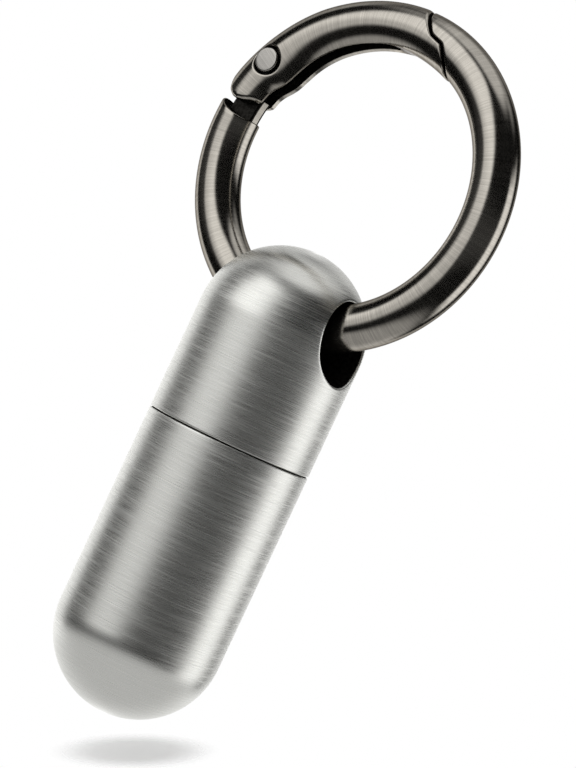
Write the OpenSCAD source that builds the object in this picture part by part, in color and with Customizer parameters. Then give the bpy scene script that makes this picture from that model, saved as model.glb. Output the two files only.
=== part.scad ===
// Pill fob keychain: a round-ended steel capsule for tablets that hangs on a spring-gate ring.
// Millimetres, +Z up, seen from -Y. The object hangs as it does from a hook.
// Origin: centre of the ring's opening. The ring lies in the XZ plane and the capsule hangs along Z.
// Angles round the ring are counted from +X towards +Z, and a radius is a distance from the origin.

/* [Ring] */
// Clear opening of the ring across its wire
ring_inner_d = 25; // [22:0.5:30]
// Diameter of the ring's round wire
wire_d = 4.4; // [4:0.1:4.8]

/* [Gate] */
// Place of the gate hinge round the ring, in degrees
hinge_angle = 152.5; // [145:0.5:158]
// Thickness of the gate across the ring
gate_w = 4.6; // [4.4:0.1:5]
// How far the gate stands proud of the wire on the outside
gate_proud = 0.05; // [0:0.01:0.2]
// How far the gate's inner side drops towards the opening at the hinge
gate_drop = 0.35; // [0.2:0.01:0.6]
// Rounding of the gate's inner edges
gate_round = 1.6; // [1:0.05:1.9]
// Radius of the lobe round the hinge on the gate's inner side
lobe_r = 2.9; // [2.5:0.05:3.2]
// Reach of the gate's tail past the hinge
tail_r = 4.9; // [4.2:0.1:5.2]
// Place where the slot in the gate ends, in degrees
slot_end_angle = 95.7; // [90:0.5:110]
// Thickness of metal over the slot
roof_t = 1.35; // [1.2:0.05:1.5]

/* [Nose joint] */
// Place of the joint line on the outside of the ring, in degrees
nose_out_angle = 90.5; // [88:0.5:94]
// Place where the joint line reaches its step, in degrees
nose_step_angle = 79; // [77:0.5:81]
// Place where the joint line leaves its step, in degrees
nose_lip_angle = 73.6; // [72:0.2:75]
// Place of the joint line on the inside of the ring, in degrees
nose_in_angle = 64; // [62:0.5:66]
// Gap of the joint along the ring
nose_gap = 0.35; // [0.3:0.05:0.5]
// Gap of the step, across which the gate meets its stop
step_gap = 0.16; // [0.1:0.02:0.3]

/* [Hinge] */
// Thickness of the tongue between the gate's cheeks
tongue_t = 1.5; // [1.2:0.05:1.8]
// Clearance between the tongue and each cheek
cheek_gap = 0.1; // [0.05:0.01:0.2]
// Radius of the eye at the end of the tongue
eye_r = 1.75; // [1.5:0.05:1.9]
// Distance from the hinge to the frame's hollow shoulder
shoulder_r = 5.9; // [5.5:0.1:6.4]
// Distance from the hinge to the step where the tongue gets its full depth
tongue_step_r = 3.4; // [3.1:0.1:3.8]
// Diameter of the rivet's shank
rivet_d = 1.8; // [1.5:0.05:2]
// Diameter of the rivet's heads
rivet_head_d = 2.4; // [2.2:0.05:2.6]
// Thickness of the rivet's heads
rivet_head_t = 0.45; // [0.3:0.05:0.6]
// Diameter of the round recess round each rivet head
recess_d = 2.9; // [2.7:0.05:3.1]
// How far the rivet heads stand out of the gate
rivet_proud = 0.05; // [0:0.01:0.15]
// Running clearance of the tongue's eye on the rivet, on the radius
hinge_fit = 0.05; // [0.02:0.01:0.08]

/* [Gate spring] */
// Thickness of the leaf
leaf_t = 0.3; // [0.2:0.02:0.4]
// Width of the leaf
leaf_w = 1.2; // [0.9:0.05:1.4]
// Distance of the leaf's free end from the end of the slot, in degrees
leaf_end = 6; // [4:0.5:12]
// Depth of the leaf's root in its notch in the tongue's eye
leaf_root = 0.35; // [0.2:0.05:0.4]
// Clearance round the leaf
leaf_fit = 0.04; // [0.02:0.01:0.08]

/* [Capsule] */
// Outer diameter of the capsule
capsule_d = 16.2; // [15.6:0.1:17.5]
// Length of the cap from its top to the seam
cap_len = 19.3; // [18.6:0.1:22]
// Length of the body from the seam to its bottom
body_len = 27.9; // [20:0.1:45]
// Edge break on both sides of the seam
seam_chamfer = 0.2; // [0.1:0.02:0.4]
// Gap between cap and body at the seam
seam_gap = 0.04; // [0.02:0.01:0.1]

/* [Cross bore] */
// Diameter of the bore that the ring runs through
bore_d = 7.8; // [7.5:0.1:8.2]
// Metal left between the bore and the top of the dome
bridge_t = 2.8; // [2.5:0.1:3.2]
// Gap left between the ring and the bore's upper rims as it hangs
hang_gap = 0.1; // [0.05:0.01:0.2]

/* [Neck and cavity] */
// Diameter of the socket in the cap
socket_d = 13.1; // [12.4:0.1:13.6]
// Depth of the socket in the cap
socket_depth = 6.9; // [5.5:0.1:7.4]
// Running clearance of the neck in the socket, on the radius
neck_fit = 0.06; // [0.03:0.01:0.1]
// Gap between the top of the neck and the socket's floor
neck_end_gap = 0.4; // [0.2:0.05:0.8]
// Diameter of the pill cavity
cavity_d = 10; // [8:0.1:10.4]
// Metal left under the cavity
floor_t = 2; // [1.5:0.1:4]
// Edge break at the mouth of the cavity
mouth_chamfer = 0.4; // [0.2:0.05:0.6]

/* [Seal] */
// Depth of the seal's groove in the neck
groove_depth = 0.85; // [0.7:0.05:0.95]
// Width of the seal's groove
groove_w = 1.25; // [1.1:0.05:1.5]
// Height of the groove above the seam
groove_rise = 0.6; // [0.4:0.05:1]
// Clearance of the squeezed seal against groove and socket, on the radius
seal_fit = 0.02; // [0.01:0.01:0.04]

/* [Hidden] */
$fn = 96;

// Ring
wire_r = wire_d / 2;
opening_r = ring_inner_d / 2;
ring_r = opening_r + wire_r;
frame_start = hinge_angle + 6;
frame_end = 360 + nose_out_angle + 6;

// Gate
half_w = gate_w / 2;
gate_top_r = opening_r + wire_d + gate_proud;
gate_mid_r = gate_top_r - half_w;
gate_low_r = opening_r + gate_proud;
roof_r = gate_top_r - roof_t;
slot_w = tongue_t + 2 * cheek_gap;
slot_round_angle = slot_end_angle + asin(slot_w / 2 / gate_low_r);
hinge = at(hinge_angle, ring_r);
drop_shift = at(hinge_angle, -gate_drop);
eye_gap = 0.25;
eye_span = asin((eye_r + eye_gap) / ring_r);
tail_span = 40;
side_gap = 0.02;
puck_round = half_w - tongue_t / 2 - 0.3;

// Nose joint
joint_turn = nose_gap / 2 / ring_r * 180 / PI;
line_top_r = ring_r + 1.32 * wire_r;
line_low_r = ring_r - 1.4 * wire_r;
step_r = ring_r - 0.2;
nose_reach = 2.2 * wire_d;

// Tongue
tongue_skin = 0.15;
tongue_depth = sqrt(pow(wire_r, 2) - pow(tongue_t / 2, 2)) - tongue_skin;
tongue_top = 0.66 * wire_r;
tongue_low = 0.55 * wire_r;
tongue_span = 2 * asin(shoulder_r / 2 / ring_r) + 7;

// Rivet
rivet_face = half_w + rivet_proud;
rivet_seat = rivet_face - rivet_head_t;
rivet_bevel = 0.12;
rivet_hole_fit = 0.01;

// Leaf
leaf_top_r = roof_r - leaf_fit;
leaf_low_r = leaf_top_r - leaf_t;
leaf_rise = leaf_top_r - leaf_t / 2 - ring_r;
eye_face_angle = hinge_angle - asin(sqrt(pow(eye_r, 2) - pow(leaf_rise, 2)) / ring_r);
leaf_start_angle = slot_end_angle + leaf_end;
leaf_stop_angle = eye_face_angle + leaf_root / ring_r * 180 / PI;
leaf_fit_angle = leaf_fit / ring_r * 180 / PI;

// Capsule, with heights from the centre of the cap's dome
capsule_r = capsule_d / 2;
bore_r = bore_d / 2;
bore_z = capsule_r - bridge_t - bore_r;
rim_z = bore_z + bore_r;
rim_x = sqrt(pow(capsule_r, 2) - pow(rim_z, 2));
dome_z = -(rim_z - hang_gap + sqrt(pow(opening_r, 2) - pow(rim_x, 2)));
seam_z = capsule_r - cap_len;
bottom_z = seam_z - body_len;
body_dome_z = bottom_z + capsule_r;

// Neck, cavity and seal
socket_r = socket_d / 2;
socket_top = seam_z + socket_depth;
neck_r = socket_r - neck_fit;
neck_top = socket_top - neck_end_gap;
cavity_r = cavity_d / 2;
cavity_ball_z = bottom_z + floor_t + cavity_r;
groove_r = neck_r - groove_depth;
groove_low = seam_z + groove_rise;
seal_cord_r = (socket_r - groove_r) / 2 - seal_fit;
seal_r = (socket_r + groove_r) / 2;
seal_z = groove_low + groove_w / 2;
lead_chamfer = 0.3;
over = 1;

// Point in the ring's plane at an angle and a radius
function at(a, r) = [r * cos(a), r * sin(a)];

// The nose joint's line: a slant, a step along the wire and a slant again
function nose_line(turn, step) = [
    at(nose_out_angle + turn, line_top_r),
    at(nose_step_angle + turn, step_r + step),
    at(nose_lip_angle + turn, step_r + step),
    at(nose_in_angle + turn, line_low_r)
];

// Stands a shape of the XY plane up in the ring's plane
module in_ring_plane() {
    rotate([90, 0, 0]) children();
}

// Plate in the ring's plane, centred on it
module plate(thickness) {
    in_ring_plane() linear_extrude(thickness, center = true) children();
}

// Part of a turned ring between two angles, about the origin
module ring_arc(from, to) {
    in_ring_plane() rotate([0, 0, from]) rotate_extrude(angle = to - from) children();
}

// Turned shape about the hinge's axis, from a profile of radius and height
module about_hinge() {
    in_ring_plane() translate(hinge) rotate_extrude() children();
}

// Flat wedge about the origin between two angles and two radii
module wedge(from, to, low_r, top_r) {
    mid = (from + to) / 2;
    far_r = top_r / cos((to - from) / 2);
    intersection() {
        difference() {
            circle(r = top_r);
            circle(r = low_r);
        }
        polygon([[0, 0], at(from, 2 * far_r), at(mid, 2 * far_r), at(to, 2 * far_r)]);
    }
}

// Rectangle of a half profile with its two outer corners rounded
module round_bar(low, top, half, corner) {
    translate([low, -half]) square([top - low - corner, 2 * half]);
    translate([low, corner - half]) square([top - low, 2 * (half - corner)]);
    for (side = [-1, 1]) translate([top - corner, side * (half - corner)]) circle(r = corner);
}

// Tongue of the frame, seen from the front
module tongue_outline() {
    difference() {
        union() {
            translate(hinge) circle(r = eye_r);
            wedge(hinge_angle, hinge_angle + tongue_span, ring_r - tongue_low, ring_r + tongue_top);
            difference() {
                wedge(hinge_angle, hinge_angle + tongue_span, ring_r - tongue_depth, ring_r);
                translate(hinge) circle(r = tongue_step_r);
            }
        }
        translate(hinge) circle(d = rivet_d + 2 * hinge_fit);
    }
}

// The ring's C-shaped frame, with the nose, the hollow shoulder and the tongue
module ring_frame() color("dimgray") {
    difference() {
        union() {
            difference() {
                ring_arc(frame_start, frame_end) translate([ring_r, 0]) circle(r = wire_r);
                about_hinge() translate([0, -wire_d]) square([shoulder_r, 2 * wire_d]);
            }
            plate(tongue_t) tongue_outline();
        }
        plate(2 * wire_d) polygon(concat(nose_line(-joint_turn, step_gap / 2),
            [[-nose_reach, line_low_r / 2], [-nose_reach, line_top_r + over]]));
        plate(leaf_w + 2 * leaf_fit) wedge(leaf_start_angle, leaf_stop_angle + leaf_fit_angle,
            leaf_low_r - leaf_fit, leaf_top_r + leaf_fit);
    }
}

// Outside of the gate: turned about the ring's centre, round outwards
module gate_outside() {
    ring_arc(nose_in_angle - 4, hinge_angle + tail_span) {
        translate([gate_mid_r, 0]) circle(r = half_w);
        translate([opening_r - 2 * wire_r, -half_w]) square([gate_mid_r - opening_r + 2 * wire_r, gate_w]);
    }
}

// Inside of the gate: turned about a centre set off from the ring's, so that it deepens to the hinge
module gate_inside() {
    depth = 2 * wire_d;
    in_ring_plane() translate(drop_shift) rotate([0, 0, nose_in_angle - 10])
        rotate_extrude(angle = hinge_angle + tail_span - nose_in_angle + 20)
            translate([gate_low_r + depth, 0]) mirror([1, 0])
                round_bar(0, depth, half_w + side_gap, gate_round);
}

// Round lobe about the hinge that bulges on the gate's inner side
module gate_lobe() {
    about_hinge() intersection() {
        round_bar(0, lobe_r, half_w - side_gap, puck_round);
        translate([0, -gate_w]) square([lobe_r, 2 * gate_w]);
    }
}

// Slot in the gate, seen from the front: blind up to the hinge, and open from there to the tail
module slot_outline() {
    wedge(slot_round_angle, hinge_angle, opening_r / 2, roof_r);
    wedge(hinge_angle - eye_span, hinge_angle + tail_span, opening_r / 2, 2 * ring_r);
}

// The gate: a slotted lever that carries the rivet and closes the ring
module gate() color("gray") {
    difference() {
        intersection() {
            gate_outside();
            union() {
                gate_inside();
                gate_lobe();
            }
        }
        plate(slot_w) slot_outline();
        in_ring_plane() rotate([0, 0, slot_round_angle]) translate([opening_r / 2, 0, 0])
            rotate([0, 90, 0]) cylinder(h = roof_r - opening_r / 2, d = slot_w);
        plate(2 * gate_w) difference() {
            wedge(hinge_angle + 1, hinge_angle + 1.2 * tail_span, opening_r / 2, 2 * ring_r);
            translate(hinge) circle(r = tail_r);
        }
        plate(2 * gate_w) polygon(concat(nose_line(joint_turn, -step_gap / 2),
            [[ring_r, line_low_r / 2], [ring_r, line_top_r + over]]));
        plate(2 * gate_w) translate(hinge) circle(d = rivet_d + 2 * rivet_hole_fit);
        for (side = [-1, 1]) translate([0, side * (rivet_seat + half_w), 0])
            plate(2 * half_w) translate(hinge) circle(d = recess_d);
    }
}

// The hinge rivet, with a bevelled flat head on each side
module gate_rivet() color("darkgray") {
    head_r = rivet_head_d / 2;
    half = [
        [rivet_d / 2, rivet_seat],
        [head_r, rivet_seat],
        [head_r, rivet_face - rivet_bevel],
        [head_r - rivet_bevel, rivet_face]
    ];
    mirrored = [for (i = [len(half) - 1:-1:0]) [half[i][0], -half[i][1]]];
    about_hinge() polygon(concat([[0, -rivet_face]], mirrored, half, [[0, rivet_face]]));
}

// Leaf spring in the gate's slot, rooted in the tongue's eye
module gate_spring() color("lightsteelblue") {
    plate(leaf_w) wedge(leaf_start_angle, leaf_stop_angle, leaf_low_r, leaf_top_r);
}

// Places what belongs to the capsule, whose heights count from the centre of the cap's dome
module on_capsule() {
    translate([0, 0, dome_z]) children();
}

// Top of the capsule, with the cross bore and the socket for the neck
module fob_cap() color("silver") on_capsule() difference() {
    rotate_extrude() difference() {
        union() {
            intersection() {
                circle(r = capsule_r);
                square(capsule_r + over);
            }
            translate([0, seam_z]) square([capsule_r, -seam_z]);
        }
        translate([capsule_r, seam_z]) rotate(45)
            square(seam_chamfer * sqrt(2), center = true);
    }
    translate([0, 0, bore_z]) rotate([0, 90, 0]) cylinder(h = 2 * capsule_d, r = bore_r, center = true);
    translate([0, 0, seam_z - over]) cylinder(h = socket_depth + over, r = socket_r);
}

// Half profile of the capsule's body: round bottom, shoulder at the seam and neck with its groove
module body_profile() {
    shoulder_z = seam_z - seam_gap;
    difference() {
        union() {
            intersection() {
                translate([0, body_dome_z]) circle(r = capsule_r);
                translate([0, bottom_z]) square(capsule_r);
            }
            translate([0, body_dome_z]) square([capsule_r, shoulder_z - body_dome_z]);
            translate([0, body_dome_z]) square([neck_r, neck_top - body_dome_z]);
        }
        translate([capsule_r, shoulder_z]) rotate(45) square(seam_chamfer * sqrt(2), center = true);
        translate([neck_r, neck_top]) rotate(45) square(lead_chamfer * sqrt(2), center = true);
        translate([groove_r, groove_low]) square([neck_r, groove_w]);
        translate([0, cavity_ball_z]) circle(r = cavity_r);
        translate([0, cavity_ball_z]) square([cavity_r, neck_top - cavity_ball_z + over]);
        translate([cavity_r, neck_top]) rotate(45) square(mouth_chamfer * sqrt(2), center = true);
    }
}

// Bottom of the capsule, which holds the tablets
module fob_body() color("gainsboro") on_capsule() {
    rotate_extrude() intersection() {
        body_profile();
        translate([0, bottom_z]) square([capsule_r, neck_top - bottom_z]);
    }
}

// O-ring in the neck's groove, as it is squeezed between groove and socket
module neck_seal() color("black") on_capsule() {
    translate([0, 0, seal_z]) rotate_extrude() translate([seal_r, 0]) circle(r = seal_cord_r);
}

ring_frame();
gate();
gate_rivet();
gate_spring();
fob_cap();
fob_body();
neck_seal();
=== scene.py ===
"""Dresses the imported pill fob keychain: a brushed capsule that hangs on a dark spring-gate ring."""
import math

import bmesh
import bpy
import numpy as np
from bpy.props import FloatProperty, FloatVectorProperty, PointerProperty
from mathutils import Matrix, Vector


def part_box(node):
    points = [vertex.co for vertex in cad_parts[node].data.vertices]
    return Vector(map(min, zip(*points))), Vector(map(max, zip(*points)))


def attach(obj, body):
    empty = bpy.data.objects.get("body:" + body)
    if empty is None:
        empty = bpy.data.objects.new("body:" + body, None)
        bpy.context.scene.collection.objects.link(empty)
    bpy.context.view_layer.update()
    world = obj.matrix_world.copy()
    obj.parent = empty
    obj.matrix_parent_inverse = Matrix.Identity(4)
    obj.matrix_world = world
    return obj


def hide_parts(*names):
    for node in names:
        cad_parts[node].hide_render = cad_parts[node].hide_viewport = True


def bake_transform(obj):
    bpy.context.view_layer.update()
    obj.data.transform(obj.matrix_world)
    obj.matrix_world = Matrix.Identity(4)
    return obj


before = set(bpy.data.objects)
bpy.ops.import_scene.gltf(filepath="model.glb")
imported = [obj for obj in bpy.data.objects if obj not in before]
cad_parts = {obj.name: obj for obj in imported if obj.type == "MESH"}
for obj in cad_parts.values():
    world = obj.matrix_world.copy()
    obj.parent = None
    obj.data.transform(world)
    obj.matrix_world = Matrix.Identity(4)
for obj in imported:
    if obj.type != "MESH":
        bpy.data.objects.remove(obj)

bl_info = {
    "name": "Pill fob keychain",
    "version": (1, 0, 0),
    "blender": (4, 5, 0),
    "location": "View3D > Sidebar > Pill fob",
    "description": "Makes the finished surfaces of a capsule that hangs on a spring-gate ring",
    "category": "Object",
}

# Places of the capsule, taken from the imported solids
CAP_LOW, CAP_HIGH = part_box("fob_cap")
BODY_LOW, BODY_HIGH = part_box("fob_body")
CAPSULE_R = (CAP_HIGH[0] - CAP_LOW[0]) / 2
DOME_Z = CAP_HIGH[2] - CAPSULE_R
SEAM_Z = CAP_LOW[2]
BOTTOM_Z = BODY_LOW[2]
NECK_TOP_Z = BODY_HIGH[2]

# Places along the ring are drawn in degrees for a hinge at this angle, and turn with the hinge
DRAWN_HINGE = 152.5


def length(name, description, default):
    """A property that holds a length in metres."""
    return FloatProperty(name=name, description=description, default=default, unit="LENGTH", precision=5)


def paint(name, description, default):
    """A property that holds a colour."""
    return FloatVectorProperty(
        name=name, description=description, default=default, size=3, subtype="COLOR", min=0, max=1)


class CapsuleSizes(bpy.types.PropertyGroup):
    """Sizes of the capsule's two shells and the groove of its seal"""

    bore_r: length("Bore radius", "Radius of the bore that the ring runs through", 0.0039)
    bore_z: length("Bore height", "Height of the bore's axis over the centre of the cap's dome", 0.0014)
    rim: length("Bore edge", "Width of the rounded edge round the bore's mouths", 0.00028)
    seam_chamfer: length("Seam edge", "Rounding of the edges on both sides of the seam", 0.00016)
    seam_gap: length("Seam gap", "Gap between cap and body", 0.00012)
    seam_shade: length("Seam shade", "Width of the dark strip inside the cap's side of the seam", 0.0003)
    socket_r: length("Socket radius", "Radius of the socket in the cap", 0.00655)
    socket_depth: length("Socket depth", "Depth of the socket in the cap", 0.0069)
    socket_lead: length("Socket lead", "Bevel at the socket's mouth and rounding at its end", 0.00025)
    neck_r: length("Neck radius", "Radius of the body's neck", 0.00649)
    neck_lead: length("Neck lead", "Rounding at the top of the neck", 0.0003)
    cavity_r: length("Cavity radius", "Radius of the pill cavity", 0.005)
    cavity_lead: length("Cavity lead", "Rounding at the cavity's mouth", 0.0004)
    floor: length("Cavity floor", "Metal left under the pill cavity", 0.002)
    groove_r: length("Groove radius", "Radius of the bottom of the seal's groove", 0.00564)
    groove_rise: length("Groove height", "Height of the groove's lower wall over the seam", 0.0006)
    groove_w: length("Groove width", "Width of the seal's groove", 0.00125)
    groove_edge: length("Groove edge", "Rounding of the groove's edges and of the neck's foot", 0.00012)


class RingSizes(bpy.types.PropertyGroup):
    """Sizes of the ring's wire, its gate and its hinge"""

    opening_r: length("Opening radius", "Radius of the ring's clear opening", 0.0125)
    wire_r: length("Wire radius", "Radius of the ring's wire", 0.0022)
    hinge_angle: FloatProperty(
        name="Hinge place", description="Angle of the gate's hinge round the ring",
        default=math.radians(DRAWN_HINGE), subtype="ANGLE")
    gate_w: length("Gate width", "Width of the gate along the ring's axis", 0.0046)
    slot_w: length("Slot width", "Width of the slot in the gate", 0.0017)
    lip_y: length("Lip place", "Way from the gate's middle to the outer edge of its lips", 0.00125)
    lip_rise: length("Lip rise", "How far the lip rises from its outer edge to the slot", 0.0001)
    joint_gap: length("Joint gap", "Gap of the joint at the gate's nose", 0.00026)
    lip: length("Edge rounding", "Rounding of the joint's and the shoulder's edges", 0.00016)
    shoulder_r: length("Shoulder radius", "Way from the hinge to the wire's hollow shoulder", 0.0059)
    tongue_t: length("Tongue thickness", "Thickness of the tongue between the gate's cheeks", 0.0015)
    tongue_step_r: length(
        "Tongue step", "Way from the hinge to where the tongue gets its full depth", 0.0034)
    eye_r: length("Eye radius", "Radius of the tongue's eye", 0.00175)
    rivet_r: length("Rivet radius", "Radius of the rivet's shank", 0.0009)
    rivet_head_r: length("Rivet head radius", "Radius of the rivet's heads", 0.0012)
    recess_r: length("Recess radius", "Radius of the recess round a rivet head", 0.00145)
    recess_rim: length("Recess rim", "Width of the rounded rim of the recess", 0.00022)


class Finishes(bpy.types.PropertyGroup):
    """Colours and gloss of the metals"""

    capsule: paint("Capsule steel", "Colour of the brushed capsule", (0.95, 0.95, 0.905))
    capsule_gloss: FloatProperty(
        name="Capsule roughness", description="Mean roughness of the brushed capsule",
        default=0.29, min=0, max=1)
    ring: paint("Ring plating", "Colour of the ring's dark plating", (0.475, 0.447, 0.40))
    ring_gloss: FloatProperty(
        name="Ring roughness", description="Mean roughness of the ring",
        default=0.155, min=0, max=1)
    rivet: paint("Rivet steel", "Colour of the hinge rivet", (0.42, 0.405, 0.38))


def between(first, last, share):
    """What lies a share of the way from first to last: first (1 - share) + last share."""
    return first * (1 - share) + last * share


def unit(ways):
    """Each of a row of ways, divided by its length."""
    return ways / np.linalg.norm(ways, axis=-1)[..., None]


def lengths(points):
    """Length of a line up to each of its points: the running sum of its steps."""
    steps = np.linalg.norm(np.diff(points, axis=0), axis=1)
    return np.concatenate([[0], np.cumsum(steps)])


def full_turn(count):
    """Equal turns round a circle, without the last, which is the first again."""
    return np.linspace(0, 2 * math.pi, count + 1)[:-1]


def run(start, stop, count):
    """Samples of a straight line between two points, both ends included."""
    return between(np.asarray(start), np.asarray(stop), np.linspace(0, 1, count)[:, None])


def on_circle(centre, r, turn):
    """Points of a circle: centre + r (cos turn, sin turn)."""
    return np.asarray(centre) + r * np.stack([np.cos(turn), np.sin(turn)], -1)


def arc(centre, r, start, stop, count):
    """Samples of a circle's arc from start to stop, in degrees."""
    return on_circle(centre, r, np.radians(np.linspace(start, stop, count)))


def soft_corner(before, corner, after, count):
    """A rounded corner: the quadratic Bezier curve from before to after that is drawn to the corner."""
    before, corner, after = np.asarray(before), np.asarray(corner), np.asarray(after)
    t = np.linspace(0, 1, count).reshape((count,) + (1,) * before.ndim)
    return (1 - t) ** 2 * before + 2 * t * (1 - t) * corner + t ** 2 * after


def joined(*parts):
    """One line from parts in a row; each later part leaves out its first point, which both share."""
    return np.concatenate([parts[0]] + [part[1:] for part in parts[1:]])


def path(start, *stops):
    """A line of straight runs from start through stops, each a place, rounding and two counts.

    A rounded stop is the curve between the points that lie its rounding before and after it. The
    counts are the samples of the run up to it and of its curve."""
    parts = []
    here = np.array(start)
    places = [np.array(stop[0]) for stop in stops]
    for k, (_, rounding, run_count, corner_count) in enumerate(stops):
        place = places[k]
        before = place - rounding * unit(place - here)
        parts.append(run(here, before, run_count))
        here = before
        if rounding:
            here = place + rounding * unit(places[k + 1] - place)
            parts.append(soft_corner(before, place, here, corner_count))
    return joined(*parts)


def turned(profile, turns):
    """A turned surface: sample (r, h) of the profile gives (r cos t, r sin t, h) at azimuth t."""
    t = turns[:, None]
    r, h = profile[:, 0], profile[:, 1]
    return np.stack(np.broadcast_arrays(r * np.cos(t), r * np.sin(t), h), -1)


class Skin:
    """Grids of points that are joined into one closed mesh"""

    # Points closer than this are one, in metres, and shorter edges than the next are dissolved
    MERGE = 0.000002
    SLIVER = 0.0000005
    # Edges that turn by more than this many degrees stay sharp
    SHARP = 32

    def __init__(self):
        self.points = []
        self.quads = []
        self.dark = []
        self.count = 0

    def add(self, grid, closed=False, dark=False):
        """Adds a grid of shape rows, columns, 3; closed joins its last row to its first.

        A dark grid gets the piece's second material, a near black that is painted shade."""
        rows, cols = grid.shape[:2]
        r = np.arange(rows if closed else rows - 1)[:, None]
        c = np.arange(cols - 1)[None, :]
        after = (r + 1) % rows
        quads = [r * cols + c, after * cols + c, after * cols + c + 1, r * cols + c + 1]
        self.points.append(grid.reshape(-1, 3))
        self.quads.append(np.stack(quads, -1).reshape(-1, 4) + self.count)
        self.dark.append(np.full(len(self.quads[-1]), int(dark)))
        self.count += rows * cols

    def make(self, name, body, slot, materials, solid):
        """Makes the piece that rides on body and replaces solid, with its faces turned outwards."""
        mesh = bpy.data.meshes.new(name)
        mesh.from_pydata(np.concatenate(self.points), [], np.concatenate(self.quads))
        mesh.polygons.foreach_set("material_index", np.concatenate(self.dark))
        work = bmesh.new()
        work.from_mesh(mesh)
        bmesh.ops.remove_doubles(work, verts=work.verts, dist=self.MERGE)
        bmesh.ops.dissolve_degenerate(work, edges=work.edges, dist=self.SLIVER)
        bmesh.ops.recalc_face_normals(work, faces=work.faces)
        work.to_mesh(mesh)
        work.free()
        mesh.polygons.foreach_set("use_smooth", np.ones(len(mesh.polygons), bool))
        mesh.set_sharp_from_angle(angle=math.radians(self.SHARP))
        for material in materials:
            mesh.materials.append(material)
        piece = bpy.data.objects.new(name, mesh)
        bpy.context.scene.collection.objects.link(piece)
        if body:
            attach(piece, body)
        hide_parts(solid)
        return piece


class Wire:
    """A shader socket that takes part in Python expressions"""

    def __init__(self, tree, socket):
        self.tree = tree
        self.socket = socket

    def maths(self, operation, *others):
        """A Math node on this socket and up to two other values."""
        return node(self.tree, "ShaderNodeMath", {"operation": operation}, self, *others)

    def __add__(self, other):
        return self.maths("ADD", other)

    def __sub__(self, other):
        return self.maths("SUBTRACT", other)

    def __rsub__(self, other):
        return self.maths("MULTIPLY_ADD", -1.0, other)

    def __mul__(self, other):
        return self.maths("MULTIPLY", other)

    def __truediv__(self, other):
        return self.maths("DIVIDE", other)

    def __pow__(self, other):
        return self.maths("POWER", other)

    def __abs__(self):
        return self.maths("ABSOLUTE")

    __radd__ = __add__
    __rmul__ = __mul__

    def kept(self, low, high):
        """This value, but at least low and at most high."""
        return self.maths("MAXIMUM", low).maths("MINIMUM", high)

    def smooth(self, low, high):
        """0 below low, 1 above high and a smooth step between; turned round where high < low."""
        kind = {"interpolation_type": "SMOOTHSTEP"}
        if high < low:
            return 1 - node(self.tree, "ShaderNodeMapRange", kind, self, high, low)
        return node(self.tree, "ShaderNodeMapRange", kind, self, low, high)


def feed(tree, pairs):
    """Gives each socket its value, or links it where the value is a Wire."""
    for socket, value in pairs:
        if isinstance(value, Wire):
            tree.links.new(value.socket, socket)
        else:
            socket.default_value = value


def feed_named(tree, made, values):
    """Feeds a node's sockets by their names, in which an underscore stands for a blank."""
    feed(tree, [(made.inputs[key.replace("_", " ")], value) for key, value in values.items()])


def node(tree, kind, settings, *values, out=0, **named):
    """Adds a node: its settings first, then its sockets by order and by name. Gives one output."""
    made = tree.nodes.new(kind)
    for key, value in settings.items():
        setattr(made, key, value)
    feed(tree, zip(made.inputs, values))
    feed_named(tree, made, named)
    return Wire(tree, made.outputs[out])


def outputs(wire, count=3):
    """The first outputs of the node that a wire comes from."""
    return [Wire(wire.tree, wire.socket.node.outputs[k]) for k in range(count)]


def toned(colour, share):
    """A colour times a share, at most 1 in each channel."""
    return tuple(min(1.0, share * part) for part in colour)


def mixed(tree, factor, first, second):
    """A Mix node on two colours, each a tuple of three."""
    mix = node(tree, "ShaderNodeMix", {"data_type": "RGBA"}, factor, out=2)
    sockets = mix.socket.node.inputs
    feed(tree, ((sockets[6], (*first, 1)), (sockets[7], (*second, 1))))
    return mix


def new_material(name):
    """An empty node material with a Principled shader: gives the material, its tree and the shader."""
    material = bpy.data.materials.new(name)
    material.use_nodes = True
    tree = material.node_tree
    return material, tree, tree.nodes["Principled BSDF"]


def place_of(tree):
    """The three Object coordinates of the shaded point, in metres."""
    coords = node(tree, "ShaderNodeTexCoord", {}, out=3)
    return outputs(node(tree, "ShaderNodeSeparateXYZ", {}, coords))


def noise(tree, x, y, z, detail, rough):
    """Noise at a place that is given by three wires, between about 0.2 and 0.8."""
    place = node(tree, "ShaderNodeCombineXYZ", {}, x, y, z)
    return node(tree, "ShaderNodeTexNoise", {}, Vector=place, Scale=1.0, Detail=detail, Roughness=rough)


def from_axis(one, two):
    """Distance from an axis: sqrt(one^2 + two^2), kept off 0 so that it can divide."""
    least_square = 1e-10
    return (one * one + two * two + least_square) ** 0.5


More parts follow.
